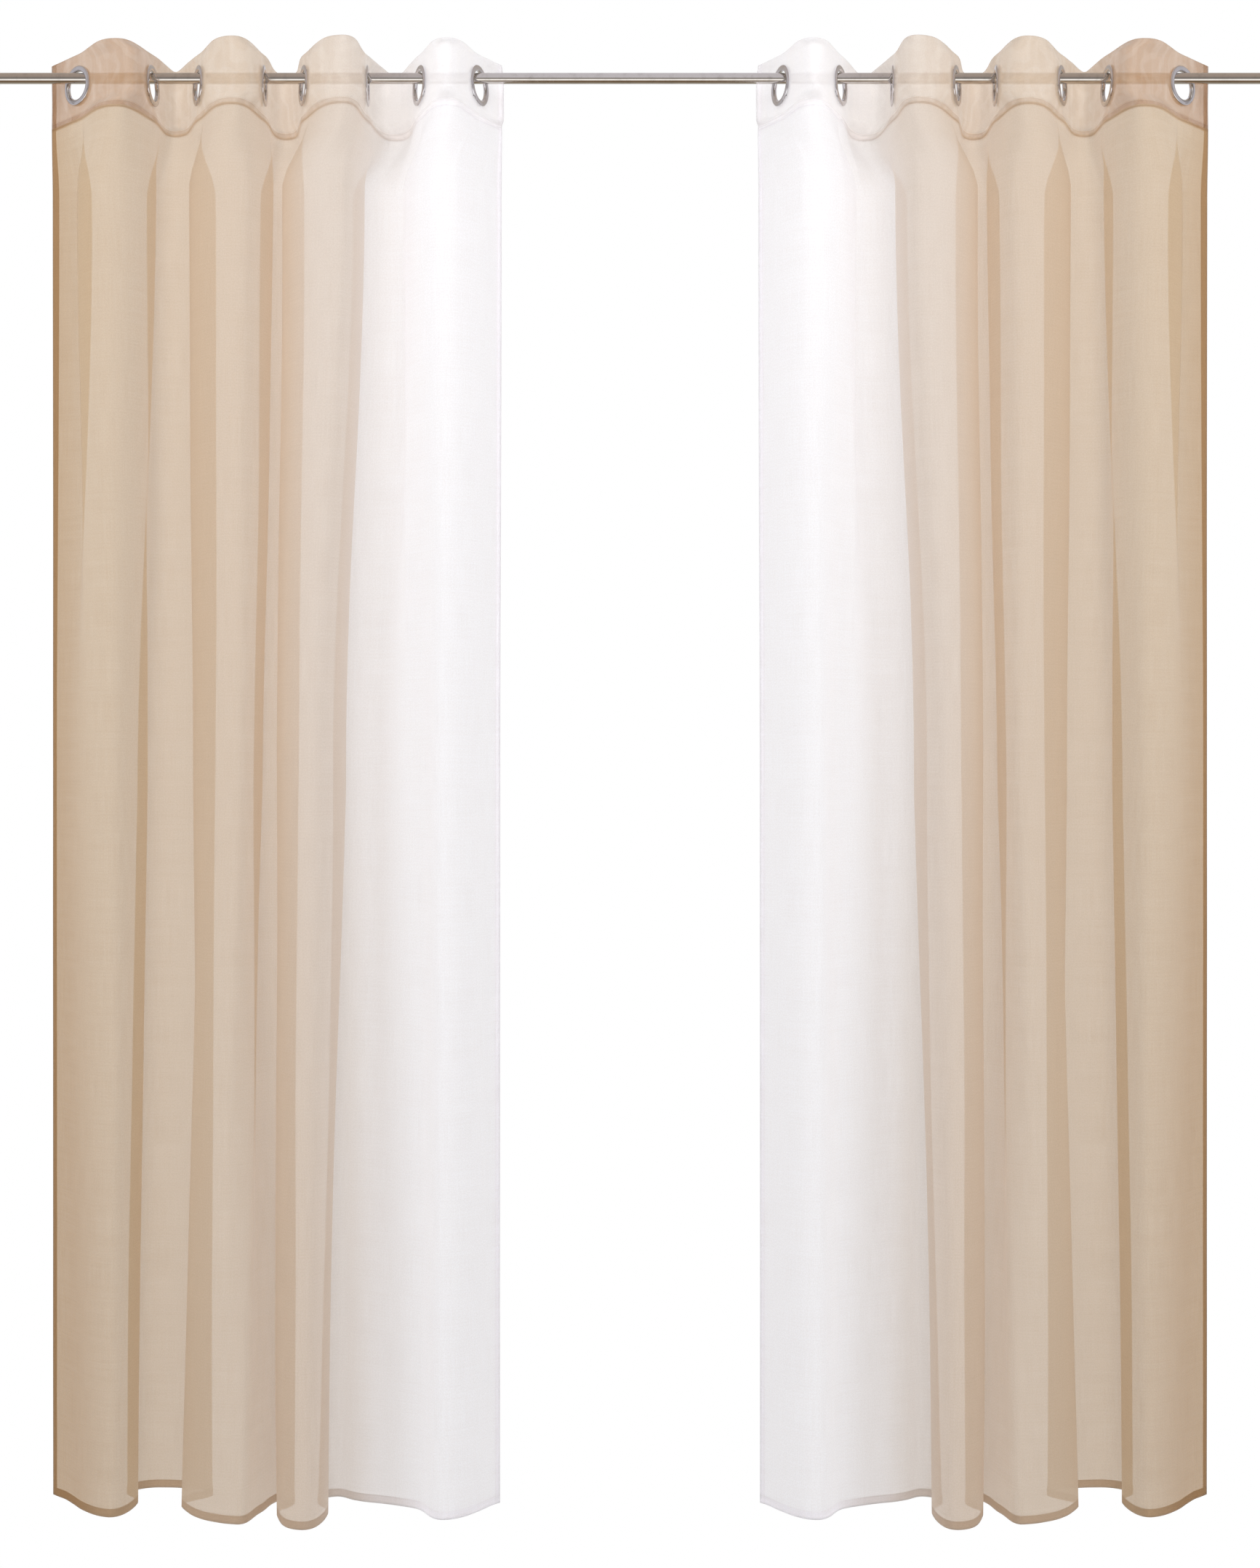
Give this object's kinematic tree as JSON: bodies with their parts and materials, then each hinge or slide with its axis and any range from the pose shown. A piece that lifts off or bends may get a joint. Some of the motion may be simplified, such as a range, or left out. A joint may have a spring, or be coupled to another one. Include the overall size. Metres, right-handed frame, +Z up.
{
  "type": "window curtains on a rod",
  "caption": "Two sheer eyelet curtain panels gathered on a straight round rod, with wall brackets, end caps, ring eyelets and stiffened headers; the panels slide and draw along the rod.",
  "frame": {"origin": "on the wall plane, midway between the two wall brackets, level with the rod's axis", "axes": "+X along the rod, to the right seen from the room; +Y from the room into the wall; +Z up"},
  "size_m": [2.4286, 0.234, 2.2502],
  "materials": {
    "rod_steel": "satin polished stainless steel, with a bright line along the rod",
    "eyelet_chrome": "polished chrome plating",
    "screw_zinc": "zinc-plated",
    "voile": "sheer plain-weave voile, tan at the outer edge fading to white at the inner one",
    "header_stiffener": "translucent non-woven interlining"
  },
  "bodies": {
    "fixed_hardware": {"rod": "rod_steel", "left_end_cap": "rod_steel", "left_wall_plate": "rod_steel", "left_rod_holder": "rod_steel", "left_arm_screw": "screw_zinc", "left_set_screw": "screw_zinc", "left_wall_screw_upper": "screw_zinc", "left_wall_screw_lower": "screw_zinc", "right_end_cap": "rod_steel", "right_wall_plate": "rod_steel", "right_rod_holder": "rod_steel", "right_arm_screw": "screw_zinc", "right_set_screw": "screw_zinc", "right_wall_screw_upper": "screw_zinc", "right_wall_screw_lower": "screw_zinc"},
    "left_panel": {"left_curtain": "voile", "left_header_tape": "header_stiffener", "left_eyelet_1_front": "eyelet_chrome", "left_eyelet_1_back": "eyelet_chrome"},
    "left_eyelet_2": {"left_eyelet_2_front": "eyelet_chrome", "left_eyelet_2_back": "eyelet_chrome"},
    "left_eyelet_3": {"left_eyelet_3_front": "eyelet_chrome", "left_eyelet_3_back": "eyelet_chrome"},
    "left_eyelet_4": {"left_eyelet_4_front": "eyelet_chrome", "left_eyelet_4_back": "eyelet_chrome"},
    "left_eyelet_5": {"left_eyelet_5_front": "eyelet_chrome", "left_eyelet_5_back": "eyelet_chrome"},
    "left_eyelet_6": {"left_eyelet_6_front": "eyelet_chrome", "left_eyelet_6_back": "eyelet_chrome"},
    "left_eyelet_7": {"left_eyelet_7_front": "eyelet_chrome", "left_eyelet_7_back": "eyelet_chrome"},
    "left_eyelet_8": {"left_eyelet_8_front": "eyelet_chrome", "left_eyelet_8_back": "eyelet_chrome"},
    "right_panel": {"right_curtain": "voile", "right_header_tape": "header_stiffener", "right_eyelet_1_front": "eyelet_chrome", "right_eyelet_1_back": "eyelet_chrome"},
    "right_eyelet_2": {"right_eyelet_2_front": "eyelet_chrome", "right_eyelet_2_back": "eyelet_chrome"},
    "right_eyelet_3": {"right_eyelet_3_front": "eyelet_chrome", "right_eyelet_3_back": "eyelet_chrome"},
    "right_eyelet_4": {"right_eyelet_4_front": "eyelet_chrome", "right_eyelet_4_back": "eyelet_chrome"},
    "right_eyelet_5": {"right_eyelet_5_front": "eyelet_chrome", "right_eyelet_5_back": "eyelet_chrome"},
    "right_eyelet_6": {"right_eyelet_6_front": "eyelet_chrome", "right_eyelet_6_back": "eyelet_chrome"},
    "right_eyelet_7": {"right_eyelet_7_front": "eyelet_chrome", "right_eyelet_7_back": "eyelet_chrome"},
    "right_eyelet_8": {"right_eyelet_8_front": "eyelet_chrome", "right_eyelet_8_back": "eyelet_chrome"}
  },
  "joints": [
    {"name": "left_panel_slide", "type": "slide", "parent": "fixed_hardware", "child": "left_panel", "axis": [-1, 0, 0], "range_m": [0, 0.15]},
    {"name": "left_draw", "type": "slide", "parent": "left_panel", "child": "left_eyelet_8", "axis": [1, 0, 0], "range_m": [-0.22, 0.19], "deforming": ["left_curtain", "left_header_tape"]},
    {"name": "left_eyelet_2_slide", "type": "slide", "parent": "left_panel", "child": "left_eyelet_2", "axis": [1, 0, 0], "range_m": [-0.0201, 0.0175]},
    {"name": "left_eyelet_3_slide", "type": "slide", "parent": "left_panel", "child": "left_eyelet_3", "axis": [1, 0, 0], "range_m": [-0.0483, 0.0418]},
    {"name": "left_eyelet_4_slide", "type": "slide", "parent": "left_panel", "child": "left_eyelet_4", "axis": [1, 0, 0], "range_m": [-0.098, 0.0847]},
    {"name": "left_eyelet_5_slide", "type": "slide", "parent": "left_panel", "child": "left_eyelet_5", "axis": [1, 0, 0], "range_m": [-0.1316, 0.1137]},
    {"name": "left_eyelet_6_slide", "type": "slide", "parent": "left_panel", "child": "left_eyelet_6", "axis": [1, 0, 0], "range_m": [-0.1782, 0.154]},
    {"name": "left_eyelet_7_slide", "type": "slide", "parent": "left_panel", "child": "left_eyelet_7", "axis": [1, 0, 0], "range_m": [-0.2078, 0.1795]},
    {"name": "right_panel_slide", "type": "slide", "parent": "fixed_hardware", "child": "right_panel", "axis": [1, 0, 0], "range_m": [0, 0.15]},
    {"name": "right_draw", "type": "slide", "parent": "right_panel", "child": "right_eyelet_8", "axis": [-1, 0, 0], "range_m": [-0.22, 0.19], "deforming": ["right_curtain", "right_header_tape"]},
    {"name": "right_eyelet_2_slide", "type": "slide", "parent": "right_panel", "child": "right_eyelet_2", "axis": [-1, 0, 0], "range_m": [-0.0201, 0.0175]},
    {"name": "right_eyelet_3_slide", "type": "slide", "parent": "right_panel", "child": "right_eyelet_3", "axis": [-1, 0, 0], "range_m": [-0.0483, 0.0418]},
    {"name": "right_eyelet_4_slide", "type": "slide", "parent": "right_panel", "child": "right_eyelet_4", "axis": [-1, 0, 0], "range_m": [-0.098, 0.0847]},
    {"name": "right_eyelet_5_slide", "type": "slide", "parent": "right_panel", "child": "right_eyelet_5", "axis": [-1, 0, 0], "range_m": [-0.1316, 0.1137]},
    {"name": "right_eyelet_6_slide", "type": "slide", "parent": "right_panel", "child": "right_eyelet_6", "axis": [-1, 0, 0], "range_m": [-0.1782, 0.154]},
    {"name": "right_eyelet_7_slide", "type": "slide", "parent": "right_panel", "child": "right_eyelet_7", "axis": [-1, 0, 0], "range_m": [-0.2078, 0.1795]}
  ],
  "couplings": [
    {"joint": "left_eyelet_2_slide", "follows": "left_draw", "ratio": 0.0893},
    {"joint": "left_eyelet_3_slide", "follows": "left_draw", "ratio": 0.2175},
    {"joint": "left_eyelet_4_slide", "follows": "left_draw", "ratio": 0.4431},
    {"joint": "left_eyelet_5_slide", "follows": "left_draw", "ratio": 0.596},
    {"joint": "left_eyelet_6_slide", "follows": "left_draw", "ratio": 0.8079},
    {"joint": "left_eyelet_7_slide", "follows": "left_draw", "ratio": 0.9421},
    {"joint": "right_eyelet_2_slide", "follows": "right_draw", "ratio": 0.0893},
    {"joint": "right_eyelet_3_slide", "follows": "right_draw", "ratio": 0.2175},
    {"joint": "right_eyelet_4_slide", "follows": "right_draw", "ratio": 0.4431},
    {"joint": "right_eyelet_5_slide", "follows": "right_draw", "ratio": 0.596},
    {"joint": "right_eyelet_6_slide", "follows": "right_draw", "ratio": 0.8079},
    {"joint": "right_eyelet_7_slide", "follows": "right_draw", "ratio": 0.9421}
  ]
}
